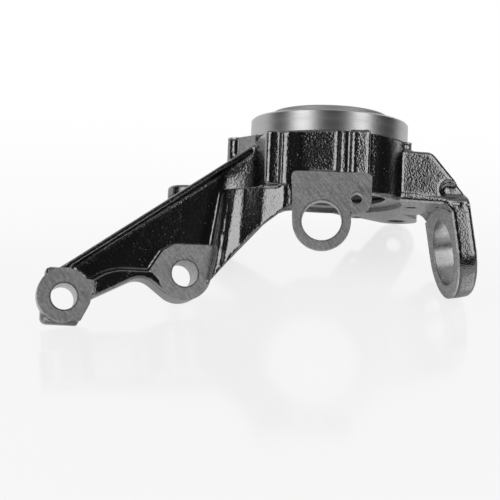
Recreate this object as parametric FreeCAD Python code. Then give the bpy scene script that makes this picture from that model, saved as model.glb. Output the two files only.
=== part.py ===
import FreeCAD, Part
import math
import os

# Steering knuckle: one iron casting with machined seats.
# The hub axis is Z and points outboard. Heights below are measured from the hub's machined
# inboard face, and the finished part is moved so that its origin is the middle of the bearing seat.
# X points down the vehicle, from the strut arm to the ball-joint ear, and the strut bolts lie along Y.
# Driving dimensions, in millimetres and degrees.

# Bearing housing
ring_outer_r = 50.0          # turned ring that carries the wheel bearing
cast_top_z = 38.0            # where the rough casting ends below the turned ring
ring_top_z = 51.0
ring_chamfer = 1.0
lip_r = 37.5                 # raised lip above the ring's shoulder
lip_height = 5.0
lip_bore_r = 33.0            # smaller outboard bore, whose step stops the bearing
bearing_bore_r = 37.0
bearing_seat_z = 43.0        # height of the step that stops the bearing
counterbore_r = 47.5
counterbore_depth = 2.5
clip_groove_r = 39.0
clip_groove_width = 2.0
clip_groove_z = 5.5          # the groove's lower edge
barrel_skin = 0.5            # how far the rough barrel stands inside the turned ring
bearing_way_r = 40.0         # clear way below the hub for pressing the bearing in

# Ribbed wall on the near side of the barrel
wall_left_x = -50.0
wall_right_x = 14.7
wall_front_y = -53.0
wall_groove_depth = 6.0
rib_width = 8.6
rib_gap = 3.0
middle_boss_width = 34.8
middle_boss_lead = 9.8       # width of the slanted face on the boss's left
wall_right_rib_width = 12.1
wall_corner_r = 3.5
wall_left_top_z = 34.0       # the wall's top falls away towards the strut arm
wall_right_top_z = 39.0

# Sensor plate that hangs below the ribbed wall
sensor_x = -15.3
sensor_y = -57.0
sensor_z = -18.9
sensor_turn = 12.5           # turn of the plate about Z, so that it faces the wheel's tone ring
sensor_plate_t = 10.5
sensor_bore_r = 12.0
sensor_eye_r = 17.7
sensor_plate_top = 29.5      # above the sensor's bore centre
sensor_plate_right = 29.4
sensor_plate_flare = 1.3     # the plate's top left corner stands this far outside its eye
sensor_screw_u = 20.6
sensor_screw_v = 14.2
sensor_screw_r = 3.4
sensor_screw_eye_r = 9.0
sensor_countersink = 0.6
sensor_way = 30.0            # how far the sensor's bore is opened behind the plate
sensor_corner_r = 3.0

# Strut arm
strut_face_y = 17.5          # half the clamped width of the two strut bosses
strut_boss_r = 16.4
strut_upper_rise = 1.2       # the upper boss stands this much above its bolt hole
strut_bolt_r = 8.0
strut_upper_x = -163.8
strut_upper_z = -70.0
strut_lower_x = -91.0
strut_lower_z = -51.9
arm_angle = 35.8             # slope of the arm's outer flange above the hub plane
arm_flange_t = 3.4
arm_flange_half_width = 17.0
arm_flange_end_x = -40.0
arm_edge_lift = 16.3         # outer flange above the upper strut bolt's centre
web_half_t = 6.0
web_front_y = -5.0
under_slope = 48.4           # slope of the arm's lower edge, from the lower boss to the hub
root_left_x = -68.8          # the root's top outline, from the web round to the ribbed wall
root_left_y = -19.5
root_valley_x = -58.5
root_valley_y = -32.0
root_crest_x = -50.0
root_crest_y = -44.0
root_crest_r = 14.0
root_shoulder_x = -37.5
root_right_x = -24.0
root_front_hub_y = -52.5
root_left_lean = 8.0         # the root widens downwards by this lean at its left, in degrees
root_valley_lean = 3.0
root_bend_x = -52.0          # the root's underside flattens from here to the hub
root_bend_z = -25.6
root_foot_slope = 52.0
root_under_slope = 40.4
web_lift = 3.0               # the web's edge stands above the line that grazes the lower boss
root_top_z = 1.5
cove_r = 14.0
band_half_width = 16.0
heel_near_y = 5.0            # squared heel behind the upper boss, flush with its far face

# Ball-joint ear
ear_lean = 10.0              # steering axis inclination
ear_bore_r = 21.0
ear_r = 29.5
ear_t = 13.7
ear_x = 77.6                 # bore centre on the ear's inboard face
ear_z = -27.6
ear_root_height = 33.0
ear_fillet_reach = 7.0       # cast fillet between the ear and the hub's inboard face
ear_cutter_r = 55.0          # cutter that faces the ear and leaves an arc across the fillet
ear_cutter_t = -25.5         # its centre, below the bore's

# Gusset between the hub and the ball-joint ear
gusset_wall_t = 9.0
gusset_top_z = 32.6
gusset_root_x = 34.0         # hidden inside the barrel
gusset_shoulder_x = 60.6
gusset_floor_t = 8.0
gusset_pocket_end_x = 72.0
gusset_step = 1.0            # the ear and the gusset's lower flange stand proud of its walls
gusset_flange_h = 5.2
gusset_flange_end_h = 2.3
gusset_scoop_x = 72.0        # round-nosed clearance cut in each wall above the ear
gusset_scoop_z = 9.5
gusset_scoop_r = 6.5
gusset_scoop_depth = 4.0

# Caliper ears
caliper_lower_x = 63.5
caliper_lower_y = 66.0
caliper_upper_x = -83.5
caliper_upper_y = 36.5
caliper_ear_r = 14.0
caliper_ear_t = 9.2
caliper_hole_r = 5.5
caliper_root_half = 17.0
caliper_spot_r = 11.5
caliper_spot_depth = 0.8

# Dust shield bosses
shield_boss_r = 5.9
shield_boss_x = -58.4
shield_boss_y = 6.0
shield_boss_top = 38.0
shield_hole_r = 2.6
shield_hole_depth = 14.0
shield_buttress_y = -13.0    # where the boss's buttress meets the ribbed wall's side
shield_lug_x = 34.0
shield_lug_y = 58.0
shield_lug_r = 6.5
shield_pad_x = 44.8
shield_pad_y = -23.0
shield_pad_r = 3.4
drain_x = 54.4
drain_y = -3.6
drain_r = 3.0

# Steering arm on the far side
steer_x = -62.0
steer_y = 80.0
steer_z = 0.0
steer_eye_r = 12.5
steer_eye_t = 20.0
steer_bend_r = 30.0          # plan bend where the arm leaves the hub
steer_fair_r = 20.0          # the arm's other bends
steer_neck = 14.0            # from the eye's centre back to where the arm narrows
steer_taper_small_r = 6.2
steer_taper_large_r = 7.2
steer_root_x = -26.0
steer_root_y = 40.0
steer_root_half_width = 15.0
steer_half_width = 10.0
steer_half_height = 8.0
steer_root_rise = 9.0        # the arm's top is higher where it leaves the hub

edge_r = 2.0                 # usual radius on a cast edge
slack = 1.0                  # how far a cutting tool runs past the face that it opens

UP = FreeCAD.Vector(0, 0, 1)


def vec(x, y, z):
    return FreeCAD.Vector(x, y, z)


def outline(corners, place):
    """Closed face of straight runs joined by tangent arcs; each corner is (a, b, radius)."""
    points = [FreeCAD.Vector(a, b, 0) for a, b, _ in corners]
    count = len(corners)
    stops = []
    for i, (_, _, radius) in enumerate(corners):
        here = points[i]
        back = (points[i - 1] - here).normalize()
        ahead = (points[(i + 1) % count] - here).normalize()
        if radius <= 0:
            stops.append((here, None, here))
            continue
        half = back.getAngle(ahead) / 2
        reach = radius / math.tan(half)
        towards = (back + ahead).normalize()
        centre = here + towards * (radius / math.sin(half))
        stops.append((here + back * reach, centre - towards * radius, here + ahead * reach))
    edges = []
    for i, (start, middle, end) in enumerate(stops):
        if middle is not None:
            arc = Part.Arc(place(start.x, start.y), place(middle.x, middle.y), place(end.x, end.y))
            edges.append(arc.toShape())
        following = stops[(i + 1) % count][0]
        if (following - end).Length > 1e-6:
            edges.append(Part.makeLine(place(end.x, end.y), place(following.x, following.y)))
    return Part.Face(Part.Wire(edges))


def plan_prism(corners, z_low, z_high):
    """Upright prism over an outline in the XY plane."""
    face = outline(corners, lambda a, b: vec(a, b, z_low))
    return face.extrude(vec(0, 0, z_high - z_low))


def side_prism(corners, y_near, y_far):
    """Prism along Y over an outline in the XZ plane."""
    face = outline(corners, lambda a, b: vec(a, y_near, b))
    return face.extrude(vec(0, y_far - y_near, 0))


def soften(solid, radius, chosen):
    """Round the edges whose middle point passes the test."""
    edges = []
    for edge in solid.Edges:
        first, last = edge.ParameterRange
        if chosen(edge.valueAt((first + last) / 2)):
            edges.append(edge)
    return solid.makeFillet(radius, edges)


def join(*solids):
    return solids[0].fuse(list(solids[1:])).removeSplitter()


def y_cylinder(radius, x, z, y_near, y_far):
    return Part.makeCylinder(radius, y_far - y_near, vec(x, y_near, z), vec(0, 1, 0))


def tangent_bridge(x0, y0, r0, x1, y1, r1, z_low, z_high):
    """Upright plate between two circles in plan, with tangent sides."""
    dx = x1 - x0
    dy = y1 - y0
    span = math.hypot(dx, dy)
    heading = math.atan2(dy, dx)
    lean = math.acos((r0 - r1) / span)
    corners = []
    for x, y, r, sign in ((x0, y0, r0, 1), (x1, y1, r1, 1), (x1, y1, r1, -1), (x0, y0, r0, -1)):
        angle = heading + sign * lean
        corners.append((x + r * math.cos(angle), y + r * math.sin(angle), 0))
    plate = plan_prism(corners[::-1], z_low, z_high)
    disc0 = Part.makeCylinder(r0, z_high - z_low, vec(x0, y0, z_low))
    disc1 = Part.makeCylinder(r1, z_high - z_low, vec(x1, y1, z_low))
    return join(plate, disc0, disc1)


def revolve(profile):
    """Ring turned about the hub axis from (radius, z) corners."""
    points = [vec(r, 0, z) for r, z in profile]
    wire = Part.makePolygon(points + points[:1])
    return Part.Face(wire).revolve(vec(0, 0, 0), UP, 360)


def bearing_housing():
    """Solid barrel, turned ring and lip, before the bores are cut."""
    cast_r = ring_outer_r - barrel_skin
    lip_top_z = ring_top_z + lip_height
    return revolve([
        (0, 0),
        (cast_r, 0),
        (cast_r, cast_top_z),
        (ring_outer_r, cast_top_z),
        (ring_outer_r, ring_top_z - ring_chamfer),
        (ring_outer_r - ring_chamfer, ring_top_z),
        (lip_r, ring_top_z),
        (lip_r, lip_top_z - ring_chamfer),
        (lip_r - ring_chamfer, lip_top_z),
        (0, lip_top_z),
    ])


def housing_bores():
    """Everything that is bored out about the hub axis, and the bearing's way in from below."""
    lip_top_z = ring_top_z + lip_height
    return revolve([
        (0, strut_upper_z),
        (bearing_way_r, strut_upper_z),
        (bearing_way_r, -slack),
        (counterbore_r, -slack),
        (counterbore_r, counterbore_depth),
        (bearing_bore_r + ring_chamfer, counterbore_depth),
        (bearing_bore_r, counterbore_depth + ring_chamfer),
        (bearing_bore_r, clip_groove_z),
        (clip_groove_r, clip_groove_z),
        (clip_groove_r, clip_groove_z + clip_groove_width),
        (bearing_bore_r, clip_groove_z + clip_groove_width),
        (bearing_bore_r, bearing_seat_z),
        (lip_bore_r, bearing_seat_z),
        (lip_bore_r, lip_top_z + slack),
        (0, lip_top_z + slack),
    ])


def ribbed_wall():
    """Near side of the barrel: two ribs and a broad boss with grooves between them."""
    groove_y = wall_front_y + wall_groove_depth
    left_rib_x = wall_left_x + rib_width
    boss_left_x = left_rib_x + rib_gap
    boss_right_x = boss_left_x + middle_boss_width
    right_rib_x = wall_right_x - wall_right_rib_width
    tight_r = 0.4 * wall_corner_r
    wall = plan_prism([
        (wall_left_x, 0, 0),
        (wall_left_x, wall_front_y, wall_corner_r),
        (left_rib_x, wall_front_y, tight_r),
        ((left_rib_x + boss_left_x) / 2, groove_y, 0.1 * wall_corner_r),
        (boss_left_x, wall_front_y + 2.0, tight_r),
        (boss_left_x + middle_boss_lead, wall_front_y - 0.5, wall_corner_r),
        (boss_right_x - 1.5, wall_front_y - 0.5, wall_corner_r),
        (boss_right_x, groove_y, tight_r),
        (right_rib_x - 1.0, groove_y, tight_r),
        (right_rib_x, wall_front_y, wall_corner_r),
        (wall_right_x, wall_front_y + 0.5, tight_r),
        (wall_right_x + 1.5, 0, 0),
    ], root_top_z, wall_right_top_z + slack)
    above = side_prism([
        (wall_left_x - slack, wall_left_top_z, 0),
        (wall_right_x, wall_right_top_z, 0),
        (wall_right_x + 3.0, wall_right_top_z, 0),
        (wall_right_x + 3.0, wall_right_top_z + 2 * slack, 0),
        (wall_left_x - slack, wall_right_top_z + 2 * slack, 0),
    ], wall_front_y - 6.0, slack)
    return wall.cut(above)


def sensor_point(u, v, depth):
    """Point of the sensor plate: u along the plate, v up, depth behind its machined face."""
    turn = math.radians(sensor_turn)
    x = sensor_x + u * math.cos(turn) + depth * math.sin(turn)
    y = sensor_y - u * math.sin(turn) + depth * math.cos(turn)
    return vec(x, y, sensor_z + v)


def sensor_cylinder(u, v, radius, depth_from, depth_to):
    start = sensor_point(u, v, depth_from)
    end = sensor_point(u, v, depth_to)
    return Part.makeCylinder(radius, depth_to - depth_from, start, end - start)


def sensor_plate():
    """Machined plate with a round eye for the wheel-speed sensor and an eye for its screw."""
    depth = sensor_point(0, 0, sensor_plate_t) - sensor_point(0, 0, 0)
    screw_right = sensor_plate_right
    body = outline([
        (-sensor_eye_r, 0, 0),
        (-sensor_eye_r - sensor_plate_flare, sensor_plate_top, sensor_corner_r),
        (screw_right, sensor_plate_top, sensor_corner_r),
        (screw_right, sensor_screw_v, 0),
        (sensor_screw_u, sensor_screw_v, 0),
        (sensor_screw_u - sensor_screw_eye_r * 0.6, sensor_screw_v - sensor_screw_eye_r * 0.8, 0),
        (sensor_eye_r * 0.95, 0, 0),
    ], lambda a, b: sensor_point(a, b, 0)).extrude(depth)
    eye = sensor_cylinder(0, 0, sensor_eye_r, 0, sensor_plate_t)
    screw_eye = sensor_cylinder(sensor_screw_u, sensor_screw_v, sensor_screw_eye_r, 0, sensor_plate_t)
    return join(body, eye, screw_eye)


def arm_line(x, below=0.0):
    """Height of the arm's outer flange at x, or of a line parallel to it and below it."""
    slope = math.radians(arm_angle)
    lift = (arm_edge_lift - below) / math.cos(slope)
    return strut_upper_z + (x - strut_upper_x) * math.tan(slope) + lift


def under_line(x):
    """Height of the arm's lower edge between the lower strut boss and the hub."""
    start_x = strut_lower_x + strut_boss_r * math.sin(math.radians(under_slope))
    start_z = strut_lower_z - strut_boss_r * math.cos(math.radians(under_slope))
    return start_z + (x - start_x) * math.tan(math.radians(under_slope))


def boss_corner(x, z, across, up, radius=0.0):
    """Outline corner round a strut bolt's centre, in boss radii."""
    return (x + across * strut_boss_r, z + up * strut_boss_r, radius * strut_boss_r)


def lower_shoulder(y_near, y_far):
    """Five-sided shoulder that ties the lower boss to the arm."""
    x, z = strut_lower_x, strut_lower_z
    return side_prism([
        boss_corner(x, z, -1.32, 0.05, 0.12),
        boss_corner(x, z, -0.85, 0.82, 0.24),
        boss_corner(x, z, -0.43, 1.07, 0.24),
        boss_corner(x, z, 1.07, 1.11, 0.09),
        boss_corner(x, z, 1.13, 0.91, 0.06),
        boss_corner(x, z, 0.89, -0.34),
        boss_corner(x, z, -0.21, -0.21),
        boss_corner(x, z, -0.95, -0.30),
    ], y_near, y_far)


def strut_bosses():
    """Two clamped bosses with flat machined faces, and the heel behind the upper one."""
    lower = y_cylinder(strut_boss_r, strut_lower_x, strut_lower_z, -strut_face_y, strut_face_y)
    shoulder = lower_shoulder(-strut_face_y, strut_face_y)
    x, z = strut_upper_x, strut_upper_z
    upper = y_cylinder(strut_boss_r, x, z + strut_upper_rise, -strut_face_y, heel_near_y + slack)
    tail = side_prism([
        boss_corner(x, z, 0.24, 1.00),
        boss_corner(x, z, 0.73, 0.70, 0.49),
        boss_corner(x, z, 1.10, 0.65, 0.06),
        boss_corner(x, z, 0.97, -0.21, 0.20),
        boss_corner(x, z, 0.65, -0.88, 0.06),
        boss_corner(x, z, 0.24, -0.80),
    ], -strut_face_y, strut_face_y)
    heel = soften(side_prism([
        boss_corner(x, z, -0.65, 1.20, 0.18),
        boss_corner(x, z, 0.24, 1.20, 0.18),
        boss_corner(x, z, 0.90, 0.60, 0.18),
        boss_corner(x, z, 0.66, -0.96, 0.12),
        boss_corner(x, z, -0.76, -0.96, 0.24),
        boss_corner(x, z, -0.78, -0.32, 0.30),
    ], heel_near_y, strut_face_y), edge_r, lambda p: p.y < heel_near_y + 0.01)
    return join(upper, lower, shoulder, tail, heel)


def band_corner(share, rise, radius=0.0):
    """Outline corner between the strut bolts: share of the way from the upper one, and rise in
    boss radii above the line through both."""
    x = strut_upper_x + share * (strut_lower_x - strut_upper_x)
    z = strut_upper_z + share * (strut_lower_z - strut_upper_z)
    return (x, z + rise * strut_boss_r, radius * strut_boss_r)


def strut_band():
    """Lower flange between the bosses, arched on its underside."""
    return soften(side_prism([
        band_corner(0.12, 0.29),
        band_corner(0.33, 0.64, 0.49),
        band_corner(0.45, 0.66, 0.73),
        band_corner(0.86, 0.21),
        band_corner(0.86, -0.67),
        band_corner(0.65, 0.265, 0.73),
        band_corner(0.20, -0.29),
        band_corner(0.12, -0.50),
    ], -band_half_width, band_half_width), edge_r,
        lambda p: abs(abs(p.y) - band_half_width) < 0.01)


def arm_flange():
    """Outer flange of the strut arm, from the upper boss to the hub."""
    start_x = strut_upper_x - 0.60 * strut_boss_r
    tuck_x = arm_flange_t * math.sin(math.radians(arm_angle))
    return soften(side_prism([
        (start_x, arm_line(start_x), 0),
        (arm_flange_end_x, arm_line(arm_flange_end_x), 0),
        (arm_flange_end_x, arm_line(arm_flange_end_x, arm_flange_t), 0),
        (start_x + tuck_x, arm_line(start_x + tuck_x, arm_flange_t), 0),
    ], -arm_flange_half_width, arm_flange_half_width), edge_r * 0.5,
        lambda p: abs(abs(p.y) - arm_flange_half_width) < 0.01)


def arm_web():
    """Recessed web that fills the arm between its flange and its lower edge."""
    start_x = strut_upper_x
    foot_x = strut_lower_x + strut_boss_r * 0.8
    return side_prism([
        (start_x, arm_line(start_x, 1.5), 0),
        (wall_left_x + 12.0, arm_line(wall_left_x + 12.0, 1.5), 0),
        (wall_left_x + 12.0, under_line(wall_left_x + 12.0) + web_lift, 0),
        (foot_x, under_line(foot_x) + web_lift, 0),
        (strut_lower_x, strut_lower_z - 6.0, 0),
        band_corner(0.73, 0.35),
        band_corner(0.0, 0.15),
    ], web_front_y, web_front_y + 2 * web_half_t)


def root_outline(z):
    """Plan outline of the arm's root at height z, as one closed wire."""
    drop = z - root_top_z
    left_x = root_left_x + drop * math.tan(math.radians(root_left_lean))
    valley_x = root_valley_x + drop * math.tan(math.radians(root_valley_lean))
    step_x = (valley_x - left_x) / 5
    step_y = (root_valley_y - root_left_y) / 5
    return outline([
        (left_x, strut_face_y - 3.0, 0),
        (left_x, root_left_y, 1.0),
        (left_x + step_x, root_left_y + 2.0 * step_y, 0.8),
        (left_x + 1.6 * step_x, root_left_y + 1.8 * step_y, 0.8),
        (left_x + 2.2 * step_x, root_left_y + 3.4 * step_y, 1.2),
        (valley_x, root_valley_y, 3.0),
        (root_crest_x, root_crest_y, root_crest_r),
        (root_shoulder_x, root_front_hub_y, 3.0),
        (root_right_x, root_front_hub_y, 0),
        (root_right_x, strut_face_y - 3.0, 0),
    ], lambda a, b: vec(a, b, z)).OuterWire


def arm_root():
    """Thick root of the arm: its waved front slants from the lower boss to the ribbed wall, and
    is cut back in front of the boss's clamped face."""
    low_z = strut_lower_z - 2 * strut_boss_r
    body = Part.makeLoft([root_outline(low_z), root_outline(root_top_z)], True, True)
    left_x = root_left_x - 2 * strut_boss_r
    left_z = root_bend_z + (left_x - root_bend_x) * math.tan(math.radians(root_foot_slope))
    end_x = root_bend_x + (root_top_z - root_bend_z) / math.tan(math.radians(root_under_slope))
    side = side_prism([
        (left_x, root_top_z + slack, 0),
        (left_x, left_z, 0),
        (root_bend_x, root_bend_z, 12.0),
        (end_x, root_top_z, 0),
        (end_x, root_top_z + slack, 0),
    ], root_front_hub_y - 10.0, strut_face_y + 10.0)
    return body.common(side).cut(lower_shoulder(2 * root_crest_y, -strut_face_y))


def wall_cove():
    """Concave sweep from the arm's web round to the side of the ribbed wall."""
    x0 = wall_left_x
    y0 = web_front_y
    block = Part.makeBox(cove_r + 6.0, cove_r + 6.0, cast_top_z - 1.5 - root_top_z,
                         vec(x0 - cove_r, y0 - cove_r, root_top_z))
    hollow = Part.makeCylinder(cove_r, cast_top_z, vec(x0 - cove_r, y0 - cove_r, root_top_z - slack))
    cove = block.cut(hollow)
    under_flange = side_prism([
        (x0 - 2 * cove_r, arm_line(x0 - 2 * cove_r, 1.5), 0),
        (x0 + cove_r, arm_line(x0 + cove_r, 1.5), 0),
        (x0 + cove_r, root_top_z - slack, 0),
        (x0 - 2 * cove_r, root_top_z - slack, 0),
    ], y0 - 2 * cove_r, y0 + cove_r)
    return cove.common(under_flange)


def ear_point(y, t, depth):
    """Point of the ball-joint ear: t up along its face, depth outwards from its inboard face."""
    lean = math.radians(ear_lean)
    x = ear_x - t * math.sin(lean) + depth * math.cos(lean)
    z = ear_z + t * math.cos(lean) + depth * math.sin(lean)
    return vec(x, y, z)


def ear_cylinder(radius, depth_from, depth_to):
    start = ear_point(0, 0, depth_from)
    end = ear_point(0, 0, depth_to)
    return Part.makeCylinder(radius, depth_to - depth_from, start, end - start)


def ball_joint_ear():
    """Leaning eye for the pressed ball joint, with straight sides up to the gusset."""
    depth = ear_point(0, 0, ear_t) - ear_point(0, 0, 0)
    body = outline([
        (-ear_r, 0, 0),
        (-ear_r, ear_root_height, 6.0),
        (ear_r, ear_root_height, 6.0),
        (ear_r, 0, 0),
    ], lambda a, b: ear_point(a, b, 0)).extrude(depth)
    eye = join(body, ear_cylinder(ear_r, 0, ear_t))
    outer = ear_point(0, 0, ear_t)
    normal = depth.normalize()
    return soften(eye, edge_r * 1.5, lambda p: abs((p - outer).dot(normal)) < 0.01)


def ear_fillet():
    """Cast fillet under the hub at the ear's root, as left by the cutter that faced the ear."""
    reach = ear_fillet_reach
    fillet = side_prism([
        (ear_face_x(0) - reach, 0, 0),
        (ear_face_x(0), 0, 0.8 * reach),
        (ear_face_x(-reach), -reach, 0),
        (ear_face_x(-reach) + slack, -reach, 0),
        (ear_face_x(0) + slack, slack, 0),
        (ear_face_x(0) - reach, slack, 0),
    ], -ear_r, ear_r)
    start = ear_point(0, ear_cutter_t, -reach)
    end = ear_point(0, ear_cutter_t, 0)
    return fillet.cut(Part.makeCylinder(ear_cutter_r, reach, start, end - start))


def ear_face_x(z):
    """Inboard face of the leaning ear at height z."""
    return ear_x - (z - ear_z) * math.tan(math.radians(ear_lean))


def gusset_tip_x():
    """Outer end of the gusset, over the ear's outer face."""
    return ear_face_x(gusset_flange_h) + ear_t / math.cos(math.radians(ear_lean))


def gusset_scoop(side):
    """Round-nosed cut along X in the outside of one gusset wall."""
    y = side * (ear_r - gusset_step - gusset_scoop_depth + gusset_scoop_r)
    nose = Part.makeSphere(gusset_scoop_r, vec(gusset_scoop_x, y, gusset_scoop_z))
    length = gusset_tip_x() + slack - gusset_scoop_x
    run = Part.makeCylinder(gusset_scoop_r, length, vec(gusset_scoop_x, y, gusset_scoop_z), vec(1, 0, 0))
    return join(nose, run)


def gusset_profile():
    """Side outline of the gusset's walls, from the barrel down to the ear."""
    return [
        (gusset_root_x, 0, 0),
        (gusset_root_x, gusset_top_z, 0),
        (gusset_shoulder_x, gusset_top_z, 7.0),
        (gusset_tip_x(), gusset_flange_h, 3.0),
        (gusset_tip_x() - 1.0, 0, 0),
    ]


def gusset():
    """Two sloping side walls on a floor, with a low end wall above the ball-joint ear."""
    outer = ear_r - gusset_step
    inner = outer - gusset_wall_t
    block = soften(side_prism(gusset_profile(), -outer, outer), edge_r,
                   lambda p: p.x > ring_outer_r and p.z > 0.5 * gusset_flange_h
                   and abs(abs(p.y) - outer) < 0.01)
    pocket = plan_prism([
        (gusset_root_x + 4.0, -inner, 0),
        (gusset_root_x + 4.0, inner, 0),
        (gusset_pocket_end_x, inner, 8.0),
        (gusset_pocket_end_x, -inner, 8.0),
    ], gusset_floor_t, gusset_top_z + slack)
    flange = side_prism([
        (gusset_root_x, 0, 0),
        (gusset_root_x, gusset_flange_h, 0),
        (gusset_tip_x(), gusset_flange_end_h, 1.5),
        (gusset_tip_x(), 0, 0),
    ], -ear_r, ear_r)
    return join(block.cut([pocket, gusset_scoop(-1), gusset_scoop(1)]), flange)


def caliper_ear(x, y, z_low, root_r):
    """Ear for one caliper bracket bolt, on a plate that runs tangent into the hub."""
    heading = math.atan2(y, x)
    root_x = (ring_outer_r - root_r - 2.0) * math.cos(heading)
    root_y = (ring_outer_r - root_r - 2.0) * math.sin(heading)
    ear = tangent_bridge(root_x, root_y, root_r, x, y, caliper_ear_r, z_low, z_low + caliper_ear_t)
    top = z_low + caliper_ear_t
    rim = [edge for edge in ear.Edges if abs(edge.CenterOfMass.z - top) < 0.01]
    return ear.makeChamfer(0.6 * edge_r, rim)


def shield_bosses():
    """Bosses for the dust shield's screws, each tied to the barrel."""
    tall = Part.makeCylinder(shield_boss_r, shield_boss_top, vec(shield_boss_x, shield_boss_y, 0))
    tie = plan_prism([
        (shield_boss_x, shield_boss_y - shield_boss_r, 0),
        (wall_left_x, shield_buttress_y, 0),
        (wall_left_x + 14.0, shield_buttress_y, 0),
        (wall_left_x + 14.0, shield_boss_y + shield_boss_r, 0),
        (shield_boss_x, shield_boss_y + shield_boss_r, 0),
    ], 0, shield_boss_top)
    lug_r = math.hypot(shield_lug_x, shield_lug_y)
    hub_side = (ring_outer_r - 8.0) / lug_r
    lug = tangent_bridge(shield_lug_x * hub_side, shield_lug_y * hub_side, shield_lug_r + 6.0,
                         shield_lug_x, shield_lug_y, shield_lug_r, 0, caliper_ear_t)
    pad = Part.makeCylinder(shield_pad_r, cast_top_z - gusset_floor_t,
                            vec(shield_pad_x, shield_pad_y, gusset_floor_t))
    return join(tall, tie, lug, pad)


def steering_arm():
    """Arm for the track rod, with its eye across the hub plane."""
    low_z = steer_z - steer_half_height
    high_z = steer_z + steer_half_height
    plan = plan_prism([
        (steer_root_x + steer_root_half_width, steer_root_y - steer_fair_r, 0),
        (steer_root_x + steer_root_half_width, steer_root_y, steer_bend_r),
        (steer_x + steer_half_width, steer_y - 0.7 * steer_neck, 0.7 * steer_fair_r),
        (steer_x + steer_half_width, steer_y, 0),
        (steer_x - steer_half_width, steer_y, 0),
        (steer_x - steer_half_width, steer_y - steer_neck, steer_fair_r),
        (steer_root_x - steer_root_half_width, steer_root_y - 6.0, steer_fair_r),
        (steer_root_x - steer_root_half_width, steer_root_y - steer_fair_r, 0),
    ], low_z, high_z + steer_root_rise)
    side = side_prism([
        (steer_x - 2 * steer_eye_r, low_z, 0),
        (steer_x + steer_neck, low_z, steer_fair_r),
        (steer_root_x + steer_root_half_width + slack, 0, 0),
        (steer_root_x + steer_root_half_width + slack, high_z + steer_root_rise, 0),
        (steer_x + steer_neck, high_z + steer_root_rise, 0.5 * steer_fair_r),
        (steer_x + 2.0, high_z, 0.5 * steer_fair_r),
        (steer_x - 2 * steer_eye_r, high_z, 0),
    ], 0, steer_y + steer_eye_r)
    arm = plan.common(side)
    eye = Part.makeCylinder(steer_eye_r, steer_eye_t,
                            vec(steer_x - steer_eye_t / 2, steer_y, steer_z), vec(1, 0, 0))
    rims = [edge for edge in eye.Edges if edge.BoundBox.XLength < 0.01]
    return join(arm, eye.makeChamfer(0.75 * edge_r, rims))


def drilled_holes():
    """Every drilled or bored hole apart from those about the hub axis."""
    holes = []
    for x, z in ((strut_upper_x, strut_upper_z), (strut_lower_x, strut_lower_z)):
        holes.append(y_cylinder(strut_bolt_r, x, z, -strut_face_y - slack, strut_face_y + 8.0))
    holes.append(sensor_cylinder(0, 0, sensor_bore_r, -slack,
                                 sensor_plate_t + sensor_way))
    holes.append(sensor_cylinder(sensor_screw_u, sensor_screw_v, sensor_screw_r, -slack,
                                 sensor_plate_t + 12.0))
    mouth = sensor_point(sensor_screw_u, sensor_screw_v, 0)
    inward = sensor_point(sensor_screw_u, sensor_screw_v, sensor_countersink) - mouth
    holes.append(Part.makeCone(sensor_screw_r + sensor_countersink, sensor_screw_r,
                               sensor_countersink, mouth, inward))
    holes.append(ear_cylinder(ear_bore_r, -slack, ear_t + slack))
    for x, y in ((caliper_lower_x, caliper_lower_y), (caliper_upper_x, caliper_upper_y)):
        holes.append(Part.makeCylinder(caliper_hole_r, caliper_ear_t + 2 * slack, vec(x, y, -slack)))
        holes.append(Part.makeCylinder(caliper_spot_r, 2 * slack,
                                       vec(x, y, caliper_ear_t - caliper_spot_depth)))
    holes.append(Part.makeCylinder(shield_hole_r, shield_hole_depth + slack,
                                   vec(shield_boss_x, shield_boss_y, shield_boss_top - shield_hole_depth)))
    holes.append(Part.makeCylinder(shield_hole_r, caliper_ear_t + 2 * slack,
                                   vec(shield_lug_x, shield_lug_y, -slack)))
    holes.append(Part.makeCylinder(drain_r, gusset_floor_t + 2 * slack, vec(drain_x, drain_y, -slack)))
    holes.append(Part.makeCone(steer_taper_small_r, steer_taper_large_r, steer_eye_t + 2 * slack,
                               vec(steer_x - steer_eye_t / 2 - slack, steer_y, steer_z), vec(1, 0, 0)))
    return holes


def knuckle():
    casting = join(
        bearing_housing(),
        ribbed_wall(),
        sensor_plate(),
        strut_bosses(),
        strut_band(),
        arm_flange(),
        arm_web(),
        arm_root(),
        wall_cove(),
        ball_joint_ear(),
        ear_fillet(),
        gusset(),
        caliper_ear(caliper_lower_x, caliper_lower_y, 0, caliper_root_half + 4.0),
        caliper_ear(caliper_upper_x, caliper_upper_y, 0, caliper_root_half),
        shield_bosses(),
        steering_arm(),
    )
    machined = casting.cut([housing_bores()] + drilled_holes())
    seat_middle_z = (clip_groove_z + clip_groove_width + bearing_seat_z) / 2
    machined.translate(vec(0, 0, -seat_middle_z))
    return machined


part = knuckle()
os.makedirs("parts", exist_ok=True)
part.exportStep("parts/knuckle_casting.step")
print("solids", len(part.Solids), "valid", part.isValid(), "faces", len(part.Faces))
print("box", [round(v, 1) for v in (part.BoundBox.XMin, part.BoundBox.YMin, part.BoundBox.ZMin,
                                    part.BoundBox.XMax, part.BoundBox.YMax, part.BoundBox.ZMax)])
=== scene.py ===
import math

import bpy
from mathutils import Matrix, Vector


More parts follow.
